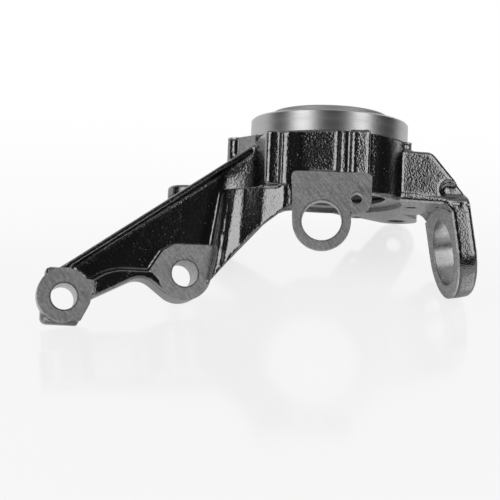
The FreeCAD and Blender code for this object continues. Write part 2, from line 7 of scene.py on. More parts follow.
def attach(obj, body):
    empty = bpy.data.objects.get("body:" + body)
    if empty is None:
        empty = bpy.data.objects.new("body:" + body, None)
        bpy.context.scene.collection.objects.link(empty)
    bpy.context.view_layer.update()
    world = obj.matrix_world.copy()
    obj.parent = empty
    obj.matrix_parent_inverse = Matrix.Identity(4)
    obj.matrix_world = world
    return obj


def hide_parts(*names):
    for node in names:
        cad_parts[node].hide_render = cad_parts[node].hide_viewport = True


bl_info = {
    "name": "Steering Knuckle",
    "version": (1, 0, 0),
    "blender": (4, 5, 0),
    "location": "3D View > Sidebar > Knuckle",
    "description": "Cast steering knuckle with machined seats, on a pale table",
    "category": "Object",
}

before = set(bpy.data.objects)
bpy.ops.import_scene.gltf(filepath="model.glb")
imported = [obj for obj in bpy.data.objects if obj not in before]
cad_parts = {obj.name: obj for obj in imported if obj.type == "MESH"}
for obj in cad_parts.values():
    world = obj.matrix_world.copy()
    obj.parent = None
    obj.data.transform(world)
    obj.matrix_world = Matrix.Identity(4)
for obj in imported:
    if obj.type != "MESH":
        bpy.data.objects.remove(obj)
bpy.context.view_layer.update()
CASTING = "knuckle_casting"
NEAR_MACHINED = "near_machined"

MM = 0.001

# Heights of the casting in millimetres. The origin is the middle of the bearing's seat.
INBOARD_Z = -25.25
CAST_TOP_Z = 12.75
RING_TOP_Z = 25.75
LIP_TOP_Z = 30.75
SEAT_STEP_Z = 17.75
SPOT_FACE_Z = -16.85
STRUT_FACE_Y = 17.5

# Radii about the hub axis, in millimetres
RING_R = 50.0
LIP_R = 37.5
LIP_BORE_R = 33.0
BEARING_R = 37.0
COUNTERBORE_R = 47.5
CLIP_GROOVE_R = 39.0

# Other sizes of the turned hub, in millimetres
COUNTERBORE_DEPTH = 2.5
CLIP_GROOVE_RISE = 5.5
CLIP_GROOVE_WIDTH = 2.0
HUB_CHAMFER = 1.0
LIP_CHAMFER = 0.6
# The hub's bare shell: its foot below the barrel's top, its wall and top, and its wall in the bores
RING_FOOT = 0.3
RING_SHELL = 2.0
RING_SHELL_TOP = 3.0
BORE_SHELL = 0.8

STEERING_EYE = (-62.0, 80.0, -25.25)
STEERING_EYE_HALF_WIDTH = 10.0

SENSOR_TURN = math.radians(12.5)
SENSOR_FACE = (-15.3, -57.0, -44.15)
EAR_LEAN = math.radians(10.0)
EAR_CENTRE = (77.6, 0.0, -52.85)

SENSOR_AXIS = (math.sin(SENSOR_TURN), math.cos(SENSOR_TURN), 0.0)
EAR_AXIS = (math.cos(EAR_LEAN), 0.0, math.sin(EAR_LEAN))

# Machined planes: a point on each in millimetres, and the way it faces
MACHINED_PLANES = (
    ((0, 0, INBOARD_Z), (0, 0, -1)),                          # inboard side of hub and caliper ears
    ((0, 0, CAST_TOP_Z), (0, 0, 1)),                          # dust shield boss and its pad
    ((0, 0, SPOT_FACE_Z), (0, 0, 1)),                         # caliper ears' spot faces
    ((0, -STRUT_FACE_Y, 0), (0, -1, 0)),                      # strut bosses, near side
    ((0, STRUT_FACE_Y, 0), (0, 1, 0)),                        # strut bosses, far side
    (SENSOR_FACE, tuple(-part for part in SENSOR_AXIS)),      # sensor plate
    (EAR_CENTRE, tuple(-part for part in EAR_AXIS)),          # ball-joint ear, inner side
    ((STEERING_EYE[0] - STEERING_EYE_HALF_WIDTH, 0, 0), (-1, 0, 0)),     # sides of the steering eye
    ((STEERING_EYE[0] + STEERING_EYE_HALF_WIDTH, 0, 0), (1, 0, 0)),
    ((-50, -13, 0), (-0.8418, -0.5398, 0)),                   # shield boss's buttress
)

# Drilled and bored holes: a point on the axis, the axis, the radius and half the length
SENSOR_SCREW = (4.812, -61.459, -29.95)
BORES = (
    ((-163.8, 0, -95.25), (0, 1, 0), 8.0, 18.0),              # upper strut bolt
    ((-91.0, 0, -77.15), (0, 1, 0), 8.0, 18.0),               # lower strut bolt
    (SENSOR_FACE, SENSOR_AXIS, 12.0, 45.0),
    (SENSOR_SCREW, SENSOR_AXIS, 3.4, 30.0),
    (EAR_CENTRE, EAR_AXIS, 21.0, 16.0),                       # ball joint
    ((63.5, 66.0, -21.0), (0, 0, 1), 5.5, 7.0),               # lower caliper bolt
    ((-83.5, 36.5, -21.0), (0, 0, 1), 5.5, 7.0),              # upper caliper bolt
    ((63.5, 66.0, -16.4), (0, 0, 1), 11.5, 1.0),              # rims of their spot faces
    ((-83.5, 36.5, -16.4), (0, 0, 1), 11.5, 1.0),
    ((-58.4, 6.0, 5.75), (0, 0, 1), 2.6, 8.0),                # dust shield screws
    ((34.0, 58.0, -20.25), (0, 0, 1), 2.6, 6.0),
    ((54.4, -3.6, -21.25), (0, 0, 1), 3.0, 6.0),              # drain in the gusset's floor
)
# How far a facet's centre may lie from a plane, and from a bore's wall, in millimetres
PLANE_TOLERANCE = 0.03
BORE_TOLERANCE = 0.25

# The cast cove between the strut arm's web and the hub's wall, as a curve in plan, in millimetres
COVE_CURVE = ((-70.5, -4.5), (-62.0, -5.5), (-50.0, -17.5))
COVE_BACK_Y = -2.0
COVE_FOOT_Z = -24.3
COVE_HEIGHT = 40.0
COVE_STEPS = 12
FLANGE_POINT = (-50.0, 0.0, 5.07)
FLANGE_SLOPE = math.radians(35.8)

# Spacing of the cast skin's grit, drawn coarser than sand so that it shows, and of its slow waves
GRIT_SPACING = 2.6
WAVE_SPACING = 14.0
# Millimetres from bare metal where the skin is smooth and fully set back, and where that has run out
NEAR_FROM = 0.8
NEAR_TO = 1.8

# The camera, fitted to the ring, bores and bosses of the photograph
CAMERA_PLACE = (-217.3, -986.3, -166.95)
CAMERA_RIGHT = (0.9839, -0.1734, 0.0424)
CAMERA_DOWN = (0.0603, 0.0990, -0.9933)
CAMERA_AHEAD = (0.1680, 0.9799, 0.1079)
FOCAL_PIXELS = 1600.0
IMAGE_PIXELS = 500.0
SENSOR_WIDTH = 36.0

# The table touches the lower caliper ear, the upper strut heel and the ball-joint ear
TABLE_UP = Vector((-0.1109, -0.6465, 0.7548)).normalized()
TABLE_TURN = TABLE_UP.to_track_quat("Z", "Y")
# Along the table and away from the camera, in the table's own frame
TABLE_AWAY = (TABLE_TURN.inverted() @ Vector(CAMERA_AHEAD)).to_2d().normalized().to_3d()
# The sheet's size in metres, across and along the camera's way
TABLE_WIDTH = 1.2
TABLE_LENGTH = 2.0
# A point that the sheet's middle lies straight below, in metres
TABLE_MIDDLE = (-0.04, 0.0, 0.0)
# Where the sheet turns white: away from the camera, and round its middle, in metres
TABLE_WHITE_FROM = -0.02
TABLE_WHITE_TO = 0.24
TABLE_EDGE_FROM = 0.24
TABLE_EDGE_TO = 0.40
# Where the mirror image fades out towards the camera, and how far
TABLE_FRONT_FROM = 0.05
TABLE_FRONT_TO = -0.03
TABLE_FRONT_SHARE = 0.68
# Share of plain glow in the sheet, to the camera and in reflections
TABLE_GLOW_SEEN = 0.82
TABLE_GLOW_MIRRORED = 0.20

# Softboxes: name, degrees right of and above the camera, metres off, width, height, watts
SOFTBOXES = (
    ("softbox_left", -42.0, 16.0, 1.2, 0.60, 1.2, 5.8),
    ("softbox_right", 45.0, 16.0, 1.2, 0.51, 1.2, 4.9),
)
# Degrees right of the camera and above it, of the bright part of the room on the left
FLANK_WAY = (-118.0, 5.0)


def to_linear(hex_colour):
    """Linear RGBA from an sRGB hex string."""
    parts = [int(hex_colour[i:i + 2], 16) / 255 for i in (1, 3, 5)]
    linear = [c / 12.92 if c <= 0.04045 else ((c + 0.055) / 1.055) ** 2.4 for c in parts]
    return (*linear, 1.0)


class KnuckleSizes(bpy.types.PropertyGroup):
    """Sizes of the cast skin and the bare shells."""
    cast_grid: bpy.props.FloatProperty(
        name="Cast grid", description="Mesh spacing of the rough cast skin",
        default=1.2 * MM, min=0.8 * MM, unit="LENGTH")
    cast_softness: bpy.props.IntProperty(
        name="Cast softness", description="Smoothing passes that round the cast edges",
        default=2, min=0)
    cast_wave: bpy.props.FloatProperty(
        name="Cast wave", description="Depth of the slow unevenness of the cast skin",
        default=0.14 * MM, min=0.0, unit="LENGTH")
    cast_grit: bpy.props.FloatProperty(
        name="Cast grit", description="Depth of the sand's grains on the cast skin",
        default=0.08 * MM, min=0.0, unit="LENGTH")
    paint_recess: bpy.props.FloatProperty(
        name="Paint recess", description="How far the cast skin stands below a machined face",
        default=0.6 * MM, min=0.0, unit="LENGTH")
    bare_depth: bpy.props.FloatProperty(
        name="Bare depth", description="Thickness of bare metal shown at a machined face's edge",
        default=1.2 * MM, min=0.1 * MM, unit="LENGTH")
    edge_break: bpy.props.FloatProperty(
        name="Edge break", description="Width of the broken edge round a machined face",
        default=0.4 * MM, min=0.0, unit="LENGTH")
    turned_steps: bpy.props.IntProperty(
        name="Turned steps", description="Steps round the turned ring",
        default=256, min=32)


class KnuckleColours(bpy.types.PropertyGroup):
    """Colours of the paint, the bare iron and the table."""
    paint: bpy.props.FloatVectorProperty(
        name="Paint", description="Gloss black paint on the cast skin",
        default=to_linear("#060606"), size=4, subtype="COLOR", min=0.0, max=1.0)
    # Painted highlights: the light grey of tiny dots in the paint that stand in for glints of light off
    # its grain
    painted_glint: bpy.props.FloatVectorProperty(
        name="Glint", description="Tiny worn grains of sand that show through the paint",
        default=to_linear("#8c8c8c"), size=4, subtype="COLOR", min=0.0, max=1.0)
    milled: bpy.props.FloatVectorProperty(
        name="Milled iron", description="Bare face left by the milling cutter",
        default=to_linear("#b8b8b8"), size=4, subtype="COLOR", min=0.0, max=1.0)
    turned: bpy.props.FloatVectorProperty(
        name="Turned iron", description="Bare ring and bores left by the lathe",
        default=to_linear("#b0b0b0"), size=4, subtype="COLOR", min=0.0, max=1.0)
    table: bpy.props.FloatVectorProperty(
        name="Table", description="Pale sheet that the casting rests on",
        default=to_linear("#f2f2f2"), size=4, subtype="COLOR", min=0.0, max=1.0)
    table_glow: bpy.props.FloatVectorProperty(
        name="Table glow", description="Tone of the table that its shadows are lifted towards",
        default=to_linear("#e2e2e2"), size=4, subtype="COLOR", min=0.0, max=1.0)
    table_front: bpy.props.FloatVectorProperty(
        name="Table front", description="Tone that the table fades to towards the camera",
        default=to_linear("#f5f5f5"), size=4, subtype="COLOR", min=0.0, max=1.0)
    table_shine: bpy.props.FloatVectorProperty(
        name="Table shine", description="Share of the room that the table mirrors",
        default=to_linear("#b2b2b2"), size=4, subtype="COLOR", min=0.0, max=1.0)


def sizes():
    """The sizes set in the sidebar."""
    return bpy.context.scene.knuckle_sizes


def colours():
    """The colours set in the sidebar."""
    return bpy.context.scene.knuckle_colours


def mm(point):
    """A point given in millimetres, in metres."""
    return Vector(point) * MM


def add_node(tree, kind, settings=None, inputs=None, links=None):
    """A shader node with its settings, its input values and its links."""
    node = tree.nodes.new(kind)
    for key, value in (settings or {}).items():
        setattr(node, key, value)
    for key, value in (inputs or {}).items():
        node.inputs[key].default_value = value
    for key, socket in (links or {}).items():
        tree.links.new(socket, node.inputs[key])
    return node


def new_material(name):
    """An empty material and its node tree, with only the output in it."""
    material = bpy.data.materials.new(name)
    material.use_nodes = True
    tree = material.node_tree
    tree.nodes.clear()
    return material, tree


def gloss_black_paint():
    """Dipped black paint over sand-cast iron: dark and glossy, broken up by the sand's grain, with painted
    highlights for its glints.
    """
    material, tree = new_material("gloss_black_paint")
    place = add_node(tree, "ShaderNodeTexCoord").outputs["Object"]
    # Foundry sand is finer than a pixel, so its grains are drawn about 1.5 mm apart
    grains = add_node(tree, "ShaderNodeTexVoronoi", {"feature": "SMOOTH_F1"},
                      {"Scale": 1 / (1.5 * MM), "Smoothness": 0.35, "Randomness": 1.0},
                      {"Vector": place}).outputs["Distance"]
    patches = add_node(tree, "ShaderNodeTexNoise",
                       inputs={"Scale": 1 / (9.0 * MM), "Detail": 2.0, "Roughness": 0.5},
                       links={"Vector": place}).outputs["Fac"]
    depth = add_node(tree, "ShaderNodeMapRange", {"interpolation_type": "SMOOTHSTEP"},
                     {"From Min": 0.35, "From Max": 0.65, "To Min": -0.35, "To Max": -1.0},
                     {"Value": patches}).outputs["Result"]
    sand = add_node(tree, "ShaderNodeTexNoise",
                    inputs={"Scale": 1 / (0.9 * MM), "Detail": 1.0, "Roughness": 0.5},
                    links={"Vector": place}).outputs["Fac"]
    pebbles = add_node(tree, "ShaderNodeMath", {"operation": "MULTIPLY"}, {},
                       {0: grains, 1: depth}).outputs["Value"]
    height = add_node(tree, "ShaderNodeMath", {"operation": "ADD"}, {},
                      {0: pebbles, 1: sand}).outputs["Value"]
    bump = add_node(tree, "ShaderNodeBump", inputs={"Strength": 1.0, "Distance": 0.115 * MM},
                    links={"Height": height}).outputs["Normal"]
    # Painted highlights: light grey dots mixed into the paint's colour stand in for glints of light off
    # the grain
    cells = add_node(tree, "ShaderNodeTexVoronoi", {"feature": "F1"}, {"Scale": 1 / (1.9 * MM)},
                     {"Vector": place}).outputs
    near_dot = add_node(tree, "ShaderNodeMapRange", {},
                        {"From Min": 0.10, "From Max": 0.28, "To Min": 1.0, "To Max": 0.0},
                        {"Value": cells["Distance"]}).outputs["Result"]
    lit_dot = add_node(tree, "ShaderNodeMapRange", {}, {"From Min": 0.45, "From Max": 1.0},
                       {"Value": add_node(tree, "ShaderNodeSeparateColor", {}, {},
                                          {"Color": cells["Color"]}).outputs["Red"]}).outputs["Result"]
    painted_glint = add_node(tree, "ShaderNodeMath", {"operation": "MULTIPLY"}, {},
                     {0: near_dot, 1: lit_dot}).outputs["Value"]
    # Where the painted highlights show: more of them in some patches than in others
    glinting = add_node(tree, "ShaderNodeMapRange", {"interpolation_type": "SMOOTHSTEP"},
                    {"From Min": 0.38, "From Max": 0.56, "To Min": 0.2, "To Max": 1.0},
                    {"Value": patches}).outputs["Result"]
    painted_glint = add_node(tree, "ShaderNodeMath", {"operation": "MULTIPLY"}, {},
                     {0: painted_glint, 1: glinting}).outputs["Value"]
    tint = add_node(tree, "ShaderNodeMix", {"data_type": "RGBA"},
                    {"A": colours().paint, "B": colours().painted_glint}, {"Factor": painted_glint}).outputs["Result"]
    shader = add_node(tree, "ShaderNodeBsdfPrincipled", inputs={"Roughness": 0.18, "IOR": 2.5},
                      links={"Base Color": tint, "Normal": bump})
    add_node(tree, "ShaderNodeOutputMaterial", links={"Surface": shader.outputs["BSDF"]})
    return material


def milled_iron():
    """Face-milled cast iron: dull grey, with fine parallel cutter lines across the face."""
    material, tree = new_material("milled_iron")
    place = add_node(tree, "ShaderNodeTexCoord").outputs["Object"]
    slant = add_node(tree, "ShaderNodeMapping", {"vector_type": "POINT"},
                     {"Rotation": (0.0, math.radians(-50.0), 0.0)}, {"Vector": place}).outputs["Vector"]
    # The cutter's lines are finer than a pixel, so they are drawn about 0.6 mm apart
    drawn = add_node(tree, "ShaderNodeMapping", {"vector_type": "POINT"},
                     {"Scale": (1 / (10 * MM), 1 / (6 * MM), 1 / (0.6 * MM))},
                     {"Vector": slant}).outputs["Vector"]
    lines = add_node(tree, "ShaderNodeTexNoise", inputs={"Scale": 1.0, "Detail": 4.0, "Roughness": 0.6},
                     links={"Vector": drawn}).outputs["Fac"]
    cloud = add_node(tree, "ShaderNodeTexNoise", inputs={"Scale": 1 / (1.3 * MM), "Detail": 3.0},
                     links={"Vector": place}).outputs["Fac"]
    mixed = add_node(tree, "ShaderNodeMix", {"data_type": "FLOAT"}, {"Factor": 0.4},
                     {"A": lines, "B": cloud}).outputs["Result"]
    spread = add_node(tree, "ShaderNodeMapRange", inputs={"From Min": 0.36, "From Max": 0.64},
                      links={"Value": mixed}).outputs["Result"]
    tint = add_node(tree, "ShaderNodeMix", {"data_type": "RGBA"}, {}, {"Factor": spread})
    base = colours().milled
    tint.inputs["A"].default_value = [part * 0.64 for part in base[:3]] + [1.0]
    tint.inputs["B"].default_value = [min(part * 1.32, 1.0) for part in base[:3]] + [1.0]
    rough = add_node(tree, "ShaderNodeMapRange",
                     inputs={"From Min": 0.3, "From Max": 0.7, "To Min": 0.44, "To Max": 0.56},
                     links={"Value": lines}).outputs["Result"]
    bump = add_node(tree, "ShaderNodeBump", inputs={"Strength": 0.35, "Distance": 0.05 * MM},
                    links={"Height": lines}).outputs["Normal"]
    shader = add_node(tree, "ShaderNodeBsdfPrincipled", inputs={"Metallic": 1.0},
                      links={"Base Color": tint.outputs["Result"], "Roughness": rough, "Normal": bump})
    add_node(tree, "ShaderNodeOutputMaterial", links={"Surface": shader.outputs["BSDF"]})
    return material


def reamed_iron():
    """Reamed cast iron: a smooth bright bore, slightly clouded."""
    material, tree = new_material("reamed_iron")
    place = add_node(tree, "ShaderNodeTexCoord").outputs["Object"]
    cloud = add_node(tree, "ShaderNodeTexNoise", inputs={"Scale": 1 / (2 * MM), "Detail": 3.0},
                     links={"Vector": place}).outputs["Fac"]
    rough = add_node(tree, "ShaderNodeMapRange",
                     inputs={"From Min": 0.3, "From Max": 0.7, "To Min": 0.24, "To Max": 0.36},
                     links={"Value": cloud}).outputs["Result"]
    shader = add_node(tree, "ShaderNodeBsdfPrincipled",
                      inputs={"Base Color": colours().turned, "Metallic": 1.0},
                      links={"Roughness": rough})
    add_node(tree, "ShaderNodeOutputMaterial", links={"Surface": shader.outputs["BSDF"]})
    return material


def turned_iron():
    """Lathe-turned cast iron: brighter, with close rings round the hub axis."""
    material, tree = new_material("turned_iron")
    place = add_node(tree, "ShaderNodeTexCoord").outputs["Object"]
    split = add_node(tree, "ShaderNodeSeparateXYZ", links={"Vector": place}).outputs
    reach = add_node(tree, "ShaderNodeVectorMath", {"operation": "LENGTH"}, {},
                     {0: add_node(tree, "ShaderNodeCombineXYZ", {}, {},
                                  {"X": split["X"], "Y": split["Y"]}).outputs["Vector"]}).outputs["Value"]
    rings = add_node(tree, "ShaderNodeCombineXYZ", {}, {}, {"X": reach, "Z": split["Z"]}).outputs["Vector"]
    # The lathe's rings are finer than a pixel, so they are drawn about 0.9 mm apart
    lines = add_node(tree, "ShaderNodeTexNoise",
                     inputs={"Scale": 1 / (0.9 * MM), "Detail": 3.0, "Roughness": 0.6},
                     links={"Vector": rings}).outputs["Fac"]
    rough = add_node(tree, "ShaderNodeMapRange",
                     inputs={"From Min": 0.3, "From Max": 0.7, "To Min": 0.32, "To Max": 0.42},
                     links={"Value": lines}).outputs["Result"]
    bump = add_node(tree, "ShaderNodeBump", inputs={"Strength": 0.5, "Distance": 0.06 * MM},
                    links={"Height": lines}).outputs["Normal"]
    on_lip = add_node(tree, "ShaderNodeMapRange", {},
                      {"From Min": (RING_TOP_Z - 0.2) * MM, "From Max": (RING_TOP_Z + 0.2) * MM,
                       "To Min": 0.0, "To Max": 0.25}, {"Value": split["Z"]}).outputs["Result"]
    rough = add_node(tree, "ShaderNodeMath", {"operation": "ADD"}, {}, {0: rough, 1: on_lip})
    shader = add_node(tree, "ShaderNodeBsdfPrincipled",
                      inputs={"Base Color": colours().turned, "Metallic": 1.0},
                      links={"Roughness": rough.outputs["Value"], "Normal": bump})
    add_node(tree, "ShaderNodeOutputMaterial", links={"Surface": shader.outputs["BSDF"]})
    return material


def select_only(piece):
    """Make a piece the only one selected, and the active one."""
    bpy.ops.object.select_all(action="DESELECT")
    piece.select_set(True)
    bpy.context.view_layer.objects.active = piece


def apply_modifier(piece, name, kind, **settings):
    """Add a modifier, set it and apply it to the mesh."""
    modifier = piece.modifiers.new(name, kind)
    for key, value in settings.items():
        setattr(modifier, key, value)
    select_only(piece)
    bpy.ops.object.modifier_apply(modifier=modifier.name)


def copy_of_casting(name):
    """A copy of the casting with its own mesh, its doubles merged."""
    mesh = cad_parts[CASTING].data.copy()
    mesh.name = name
    mesh.materials.clear()
    piece = bpy.data.objects.new(name, mesh)
    bpy.context.collection.objects.link(piece)
    select_only(piece)
    bpy.ops.object.mode_set(mode="EDIT")
    bpy.ops.mesh.select_all(action="SELECT")
    bpy.ops.mesh.remove_doubles(threshold=0.002 * MM)
    bpy.ops.object.mode_set(mode="OBJECT")
    return piece


def cove_blend():
    """The cove's solid: its plan curve raised and cut off under the arm's outer flange."""
    start, bend, end = (Vector(point) for point in COVE_CURVE)
    corners = []
    for step in range(COVE_STEPS + 1):
        t = step / COVE_STEPS
        x, y = start * (1 - t) ** 2 + bend * (2 * t * (1 - t)) + end * t ** 2
        corners.append(mm((x, y, COVE_FOOT_Z)))
    corners.append(mm((end.x, COVE_BACK_Y, COVE_FOOT_Z)))
    corners.append(mm((start.x, COVE_BACK_Y, COVE_FOOT_Z)))
    mesh = bpy.data.meshes.new("cove")
    mesh.from_pydata(corners, [], [tuple(range(len(corners)))])
    piece = bpy.data.objects.new("cove", mesh)
    bpy.context.collection.objects.link(piece)
    select_only(piece)
    bpy.ops.object.mode_set(mode="EDIT")
    bpy.ops.mesh.select_all(action="SELECT")
    bpy.ops.mesh.extrude_region_move(TRANSFORM_OT_translate={"value": (0.0, 0.0, COVE_HEIGHT * MM)})
    bpy.ops.mesh.select_all(action="SELECT")
    bpy.ops.mesh.bisect(plane_co=mm(FLANGE_POINT), use_fill=True, clear_outer=True,
                        plane_no=(-math.sin(FLANGE_SLOPE), 0.0, math.cos(FLANGE_SLOPE)))
    bpy.ops.mesh.select_all(action="SELECT")
    bpy.ops.mesh.normals_make_consistent(inside=False)
    bpy.ops.object.mode_set(mode="OBJECT")
    return piece


def on_machined_plane(centre, normal):
    """True for a face that lies in one of the machined planes and faces its way."""
    for point, facing in MACHINED_PLANES:
        facing = Vector(facing)
        if normal.dot(facing) > 0.999 and abs((centre - mm(point)).dot(facing)) < PLANE_TOLERANCE * MM:
            return True
    return False


def in_bore(centre, normal):
    """True for a face on the wall of one of the bores."""
    for point, axis, radius, half_length in BORES:
        axis = Vector(axis)
        offset = centre - mm(point)
        along = offset.dot(axis)
        out = offset - along * axis
        if abs(along) > half_length * MM or abs(normal.dot(axis)) > 0.1:
            continue
        if abs(out.length - radius * MM) < BORE_TOLERANCE * MM and out.normalized().dot(normal) < -0.9:
            return True
    return False


def in_turned_hub(centre, normal):
    """True for the ring, the lip and the bores about the hub axis."""
    reach = math.hypot(centre.x, centre.y) / MM
    height = centre.z / MM
    facing_out = normal.x * centre.x + normal.y * centre.y
    if height > CAST_TOP_Z + 0.05 and reach < RING_R + 0.2:
        return True
    return reach < COUNTERBORE_R + 0.05 and height > INBOARD_Z + 0.05 and (
        facing_out < 0 or abs(normal.z) > 0.5) and reach > LIP_BORE_R - 0.5


def in_steering_taper(centre, normal):
    """True for the tapered hole in the steering arm's eye, 6.2 to 7.2 mm in radius."""
    offset = centre - mm(STEERING_EYE)
    out = math.hypot(offset.y, offset.z) / MM
    return abs(offset.x) < (STEERING_EYE_HALF_WIDTH + 1) * MM and 5.0 < out < 7.6 and abs(normal.x) < 0.2


def select_faces(piece, wanted):
    """Select the faces whose centre and normal pass the test, in edit mode."""
    select_only(piece)
    bpy.ops.object.mode_set(mode="EDIT")
    bpy.ops.mesh.select_mode(type="FACE")
    bpy.ops.mesh.select_all(action="DESELECT")
    bpy.ops.object.mode_set(mode="OBJECT")
    for face in piece.data.polygons:
        face.select = wanted(face.center, face.normal)
    bpy.ops.object.mode_set(mode="EDIT")


def keep_faces(piece, wanted):
    """Delete every face that fails the test."""
    select_faces(piece, lambda centre, normal: not wanted(centre, normal))
    bpy.ops.mesh.delete(type="FACE")
    bpy.ops.object.mode_set(mode="OBJECT")


def is_milled(centre, normal):
    """True for a milled face, apart from the turned hub's own."""
    return not in_turned_hub(centre, normal) and on_machined_plane(centre, normal)


def is_reamed(centre, normal):
    """True for the wall of a drilled or reamed hole."""
    return not in_turned_hub(centre, normal) and (
        in_bore(centre, normal) or in_steering_taper(centre, normal))


def is_bare(centre, normal):
    """True for every face that the paint doesn't cover."""
    return any(test(centre, normal) for test in (in_turned_hub, is_milled, is_reamed))


def bare_shell(name, wanted):
    """Thin bare-metal shell over the casting's faces that pass the test, with broken edges."""
    size = sizes()
    shell = copy_of_casting(name)
    keep_faces(shell, wanted)
    select_only(shell)
    bpy.ops.object.mode_set(mode="EDIT")
    bpy.ops.mesh.select_all(action="SELECT")
    bpy.ops.mesh.dissolve_limited(angle_limit=math.radians(1.0))
    bpy.ops.object.mode_set(mode="OBJECT")
    apply_modifier(shell, "depth", "SOLIDIFY", thickness=size.bare_depth, offset=-1.0,
                   use_even_offset=True)
    apply_modifier(shell, "broken_edge", "BEVEL", width=size.edge_break, segments=2,
                   limit_method="ANGLE", angle_limit=math.radians(40.0))
    bpy.ops.object.shade_smooth_by_angle(angle=math.radians(35.0))
    apply_modifier(shell, "flat_planes", "WEIGHTED_NORMAL", mode="FACE_AREA", weight=90,
                   keep_sharp=True)
    return shell


def finish_piece(piece, material):
    """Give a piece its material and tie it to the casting's body."""
    piece.data.materials.clear()
    piece.data.materials.append(material)
    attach(piece, "root")


class KNUCKLE_OT_cast_skin(bpy.types.Operator):
    """Rough cast and painted skin of the knuckle, set back where it was machined"""
    bl_idname = "knuckle.cast_skin"
    bl_label = "Cast Skin"

    def execute(self, context):
        size = sizes()
        skin = copy_of_casting("cast_skin")
        bare = copy_of_casting("bare_places")
        keep_faces(bare, is_bare)
        cove = cove_blend()
        select_only(skin)
        cove.select_set(True)
        bpy.ops.object.join()
        apply_modifier(skin, "grid", "REMESH", mode="VOXEL", voxel_size=size.cast_grid,
                       use_smooth_shade=True)
        apply_modifier(skin, "softness", "SMOOTH", factor=0.5, iterations=size.cast_softness)
        near = skin.vertex_groups.new(name=NEAR_MACHINED)
        near.add(range(len(skin.data.vertices)), 1.0, "REPLACE")
        apply_modifier(skin, "nearness", "VERTEX_WEIGHT_PROXIMITY", vertex_group=NEAR_MACHINED,
                       target=bare, proximity_mode="GEOMETRY", proximity_geometry={"FACE"},
                       min_dist=NEAR_TO * MM, max_dist=NEAR_FROM * MM)
        grit = bpy.data.textures.new("cast_grit", "CLOUDS")
        grit.noise_scale = GRIT_SPACING * MM
        grit.noise_depth = 1
        wave = bpy.data.textures.new("cast_wave", "CLOUDS")
        wave.noise_scale = WAVE_SPACING * MM
        wave.noise_depth = 1
        for name, texture, strength in (("wave", wave, size.cast_wave), ("grit", grit, size.cast_grit)):
            apply_modifier(skin, name, "DISPLACE", texture=texture, strength=strength, mid_level=0.5,
                           texture_coords="LOCAL", vertex_group=NEAR_MACHINED, invert_vertex_group=True)
        apply_modifier(skin, "recess", "DISPLACE", strength=-size.paint_recess, mid_level=0.0,
                       vertex_group=NEAR_MACHINED)
        skin.vertex_groups.clear()
        bpy.data.objects.remove(bare)
        select_only(skin)
        bpy.ops.object.shade_smooth()
        finish_piece(skin, gloss_black_paint())
        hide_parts(CASTING)
        return {"FINISHED"}


class KNUCKLE_OT_milled_faces(bpy.types.Operator):
    """Bare milled faces, crisp over the cast skin"""
    bl_idname = "knuckle.milled_faces"
    bl_label = "Milled Faces"

    def execute(self, context):
        finish_piece(bare_shell("milled_faces", is_milled), milled_iron())
        return {"FINISHED"}


class KNUCKLE_OT_reamed_bores(bpy.types.Operator):
    """Drilled and reamed holes"""
    bl_idname = "knuckle.reamed_bores"
    bl_label = "Reamed Bores"

    def execute(self, context):
        finish_piece(bare_shell("reamed_bores", is_reamed), reamed_iron())
        return {"FINISHED"}


class KNUCKLE_OT_turned_hub(bpy.types.Operator):
    """Turned ring, lip and bearing bore, spun about the hub axis"""
    bl_idname = "knuckle.turned_hub"
    bl_label = "Turned Hub"

    def execute(self, context):
        size = sizes()
        seat_foot_z = INBOARD_Z + COUNTERBORE_DEPTH
        groove_z = INBOARD_Z + CLIP_GROOVE_RISE
        groove_top_z = groove_z + CLIP_GROOVE_WIDTH
        foot_z = CAST_TOP_Z - RING_FOOT
        shell_top_z = RING_TOP_Z - RING_SHELL_TOP
        # From the counterbore's rim up the bores, over the lip and the ring, and back inside the casting
        profile = [
            (COUNTERBORE_R, INBOARD_Z + BORE_SHELL),
            (COUNTERBORE_R, seat_foot_z),
            (BEARING_R + HUB_CHAMFER, seat_foot_z),
            (BEARING_R, seat_foot_z + HUB_CHAMFER),
            (BEARING_R, groove_z),
            (CLIP_GROOVE_R, groove_z),
            (CLIP_GROOVE_R, groove_top_z),
            (BEARING_R, groove_top_z),
            (BEARING_R, SEAT_STEP_Z),
            (LIP_BORE_R, SEAT_STEP_Z),
            (LIP_BORE_R, LIP_TOP_Z - LIP_CHAMFER),
            (LIP_BORE_R + LIP_CHAMFER, LIP_TOP_Z),
            (LIP_R - HUB_CHAMFER, LIP_TOP_Z),
            (LIP_R, LIP_TOP_Z - HUB_CHAMFER),
            (LIP_R, RING_TOP_Z),
            (RING_R - HUB_CHAMFER, RING_TOP_Z),
            (RING_R, RING_TOP_Z - HUB_CHAMFER),
            (RING_R, foot_z),
            (RING_R - RING_SHELL, foot_z),
            (RING_R - RING_SHELL, shell_top_z),
            (COUNTERBORE_R + BORE_SHELL, shell_top_z),
            (COUNTERBORE_R + BORE_SHELL, INBOARD_Z + BORE_SHELL),
        ]
        mesh = bpy.data.meshes.new("turned_hub")
        corners = [mm((radius, 0, height)) for radius, height in profile]
        mesh.from_pydata(corners, [(i, (i + 1) % len(corners)) for i in range(len(corners))], [])
        hub = bpy.data.objects.new("turned_hub", mesh)
        context.collection.objects.link(hub)
        select_only(hub)
        bpy.ops.object.mode_set(mode="EDIT")
        bpy.ops.mesh.select_all(action="SELECT")
        bpy.ops.mesh.spin(steps=size.turned_steps, angle=math.tau, center=(0, 0, 0), axis=(0, 0, 1))
        bpy.ops.mesh.select_all(action="SELECT")
        bpy.ops.mesh.remove_doubles(threshold=0.005 * MM)
        bpy.ops.mesh.normals_make_consistent(inside=False)
        bpy.ops.object.mode_set(mode="OBJECT")
        bpy.ops.object.shade_smooth_by_angle(angle=math.radians(30.0))
        finish_piece(hub, turned_iron())
        return {"FINISHED"}


